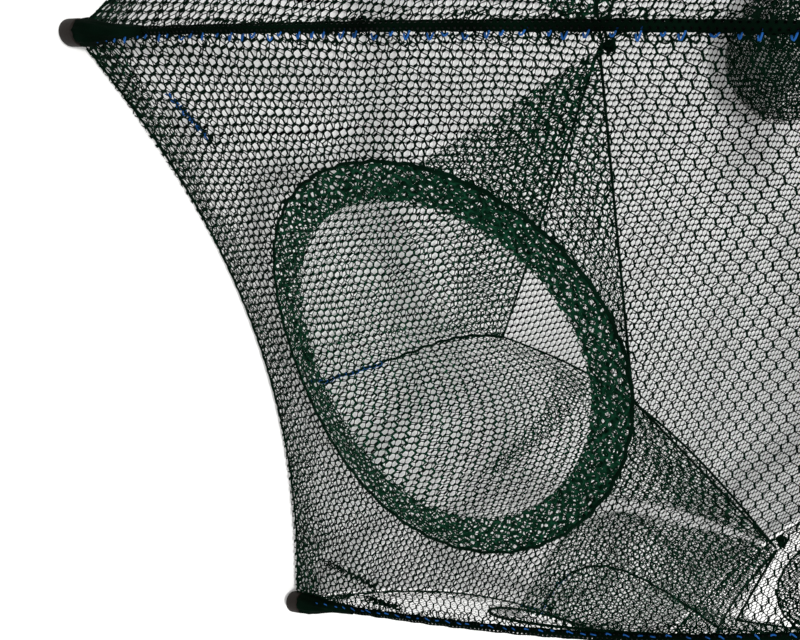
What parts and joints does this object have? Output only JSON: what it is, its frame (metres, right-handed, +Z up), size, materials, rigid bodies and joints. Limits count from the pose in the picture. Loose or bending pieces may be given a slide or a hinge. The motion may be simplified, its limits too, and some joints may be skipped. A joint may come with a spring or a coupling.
{
  "type": "folding fish trap",
  "caption": "umbrella-style fish trap: sprung ribs on a folding hub, netted sides with a round funnel entry in each, net floor, bait bag",
  "frame": {"origin": "on the ground plane, on the hub's axis, in the middle of the eight feet", "axes": "+Z up along the hub's axis; -Y points out through the middle of side 1, the side seen nearest in the picture; +X to the right of it"},
  "size_m": [0.9626, 0.9626, 0.546],
  "materials": {
    "net": "knotless nylon net, matt",
    "cord": "twisted nylon cord, matt",
    "bag": "fine nylon net, matt",
    "rod": "glass-fibre rod, satin black",
    "cap": "moulded rubber, matt brown-black",
    "plastic": "moulded plastic, satin black",
    "wire": "drawn steel wire"
  },
  "bodies": {
    "hub": {"hub_body": "plastic", "hub_cover": "plastic", "hinge_wire": "wire"},
    "runner": {"runner_stem": "plastic", "runner_collar": "plastic"},
    "rib_1": {"rib_socket_1": "plastic", "rib_rod_1": "rod", "tip_cap_1": "cap"},
    "rib_2": {"rib_socket_2": "plastic", "rib_rod_2": "rod", "tip_cap_2": "cap"},
    "rib_3": {"rib_socket_3": "plastic", "rib_rod_3": "rod", "tip_cap_3": "cap"},
    "rib_4": {"rib_socket_4": "plastic", "rib_rod_4": "rod", "tip_cap_4": "cap"},
    "rib_5": {"rib_socket_5": "plastic", "rib_rod_5": "rod", "tip_cap_5": "cap"},
    "rib_6": {"rib_socket_6": "plastic", "rib_rod_6": "rod", "tip_cap_6": "cap"},
    "rib_7": {"rib_socket_7": "plastic", "rib_rod_7": "rod", "tip_cap_7": "cap"},
    "rib_8": {"rib_socket_8": "plastic", "rib_rod_8": "rod", "tip_cap_8": "cap"},
    "side_1": {"side_net_1": "net", "entry_ring_1": "cord", "entry_funnel_1": "net"},
    "side_2": {"side_net_2": "net", "entry_ring_2": "cord", "entry_funnel_2": "net"},
    "side_3": {"side_net_3": "net", "entry_ring_3": "cord", "entry_funnel_3": "net"},
    "side_4": {"side_net_4": "net", "entry_ring_4": "cord", "entry_funnel_4": "net"},
    "side_5": {"side_net_5": "net", "entry_ring_5": "cord", "entry_funnel_5": "net"},
    "side_6": {"side_net_6": "net", "entry_ring_6": "cord", "entry_funnel_6": "net"},
    "side_7": {"side_net_7": "net", "entry_ring_7": "cord", "entry_funnel_7": "net"},
    "side_8": {"side_net_8": "net", "entry_ring_8": "cord", "entry_funnel_8": "net"},
    "floor": {"floor_net": "net", "bait_bag": "bag"}
  },
  "joints": [
    {"name": "rib_1_fold", "type": "hinge", "parent": "hub", "child": "rib_1", "pos_m": [-0.00995, -0.02402, 0.50268], "axis": [0.9239, -0.3827, 0], "range_deg": [0, 41.5]},
    {"name": "rib_2_fold", "type": "hinge", "parent": "hub", "child": "rib_2", "pos_m": [0.00995, -0.02402, 0.50268], "axis": [0.9239, 0.3827, 0], "range_deg": [-0.5, 42]},
    {"name": "rib_3_fold", "type": "hinge", "parent": "hub", "child": "rib_3", "pos_m": [0.02402, -0.00995, 0.50268], "axis": [0.3827, 0.9239, 0], "range_deg": [-0.5, 42]},
    {"name": "rib_4_fold", "type": "hinge", "parent": "hub", "child": "rib_4", "pos_m": [0.02402, 0.00995, 0.50268], "axis": [-0.3827, 0.9239, 0], "range_deg": [-0.5, 42]},
    {"name": "rib_5_fold", "type": "hinge", "parent": "hub", "child": "rib_5", "pos_m": [0.00995, 0.02402, 0.50268], "axis": [-0.9239, 0.3827, 0], "range_deg": [-0.5, 42]},
    {"name": "rib_6_fold", "type": "hinge", "parent": "hub", "child": "rib_6", "pos_m": [-0.00995, 0.02402, 0.50268], "axis": [-0.9239, -0.3827, 0], "range_deg": [-0.5, 42]},
    {"name": "rib_7_fold", "type": "hinge", "parent": "hub", "child": "rib_7", "pos_m": [-0.02402, 0.00995, 0.50268], "axis": [-0.3827, -0.9239, 0], "range_deg": [-0.5, 42]},
    {"name": "rib_8_fold", "type": "hinge", "parent": "hub", "child": "rib_8", "pos_m": [-0.02402, -0.00995, 0.50268], "axis": [0.3827, -0.9239, 0], "range_deg": [-0.5, 42]},
    {"name": "side_1_fold", "type": "hinge", "parent": "hub", "child": "side_1", "pos_m": [0, -0.026, 0.50268], "axis": [1, 0, 0], "range_deg": [-0.5, 42], "deforming": ["side_net_1", "entry_ring_1", "entry_funnel_1"]},
    {"name": "side_2_fold", "type": "hinge", "parent": "hub", "child": "side_2", "pos_m": [0.01838, -0.01838, 0.50268], "axis": [0.7071, 0.7071, 0], "range_deg": [-0.5, 42], "deforming": ["side_net_2", "entry_ring_2", "entry_funnel_2"]},
    {"name": "side_3_fold", "type": "hinge", "parent": "hub", "child": "side_3", "pos_m": [0.026, 0, 0.50268], "axis": [0, 1, 0], "range_deg": [-0.5, 42], "deforming": ["side_net_3", "entry_ring_3", "entry_funnel_3"]},
    {"name": "side_4_fold", "type": "hinge", "parent": "hub", "child": "side_4", "pos_m": [0.01838, 0.01838, 0.50268], "axis": [-0.7071, 0.7071, 0], "range_deg": [-0.5, 42], "deforming": ["side_net_4", "entry_ring_4", "entry_funnel_4"]},
    {"name": "side_5_fold", "type": "hinge", "parent": "hub", "child": "side_5", "pos_m": [0, 0.026, 0.50268], "axis": [-1, 0, 0], "range_deg": [-0.5, 42], "deforming": ["side_net_5", "entry_ring_5", "entry_funnel_5"]},
    {"name": "side_6_fold", "type": "hinge", "parent": "hub", "child": "side_6", "pos_m": [-0.01838, 0.01838, 0.50268], "axis": [-0.7071, -0.7071, 0], "range_deg": [-0.5, 42], "deforming": ["side_net_6", "entry_ring_6", "entry_funnel_6"]},
    {"name": "side_7_fold", "type": "hinge", "parent": "hub", "child": "side_7", "pos_m": [-0.026, 0, 0.50268], "axis": [0, -1, 0], "range_deg": [-0.5, 42], "deforming": ["side_net_7", "entry_ring_7", "entry_funnel_7"]},
    {"name": "side_8_fold", "type": "hinge", "parent": "hub", "child": "side_8", "pos_m": [-0.01838, -0.01838, 0.50268], "axis": [0.7071, -0.7071, 0], "range_deg": [-0.5, 42], "deforming": ["side_net_8", "entry_ring_8", "entry_funnel_8"]},
    {"name": "runner_slide", "type": "slide", "parent": "hub", "child": "runner", "axis": [0, 0, 1], "range_m": [-0.0002, 0.00941]},
    {"name": "floor_drop", "type": "slide", "parent": "hub", "child": "floor", "axis": [0, 0, -1], "range_m": [-0.001, 0.19895], "deforming": ["floor_net", "bait_bag"]}
  ],
  "couplings": [
    {"joint": "rib_2_fold", "follows": "rib_1_fold", "ratio": 1},
    {"joint": "rib_3_fold", "follows": "rib_1_fold", "ratio": 1},
    {"joint": "rib_4_fold", "follows": "rib_1_fold", "ratio": 1},
    {"joint": "rib_5_fold", "follows": "rib_1_fold", "ratio": 1},
    {"joint": "rib_6_fold", "follows": "rib_1_fold", "ratio": 1},
    {"joint": "rib_7_fold", "follows": "rib_1_fold", "ratio": 1},
    {"joint": "rib_8_fold", "follows": "rib_1_fold", "ratio": 1},
    {"joint": "side_1_fold", "follows": "rib_1_fold", "ratio": 1},
    {"joint": "side_2_fold", "follows": "rib_1_fold", "ratio": 1},
    {"joint": "side_3_fold", "follows": "rib_1_fold", "ratio": 1},
    {"joint": "side_4_fold", "follows": "rib_1_fold", "ratio": 1},
    {"joint": "side_5_fold", "follows": "rib_1_fold", "ratio": 1},
    {"joint": "side_6_fold", "follows": "rib_1_fold", "ratio": 1},
    {"joint": "side_7_fold", "follows": "rib_1_fold", "ratio": 1},
    {"joint": "side_8_fold", "follows": "rib_1_fold", "ratio": 1},
    {"joint": "runner_slide", "follows": "rib_1_fold", "m_per_rad": 0.01272},
    {"joint": "floor_drop", "follows": "rib_1_fold", "m_per_rad": 0.27329}
  ]
}
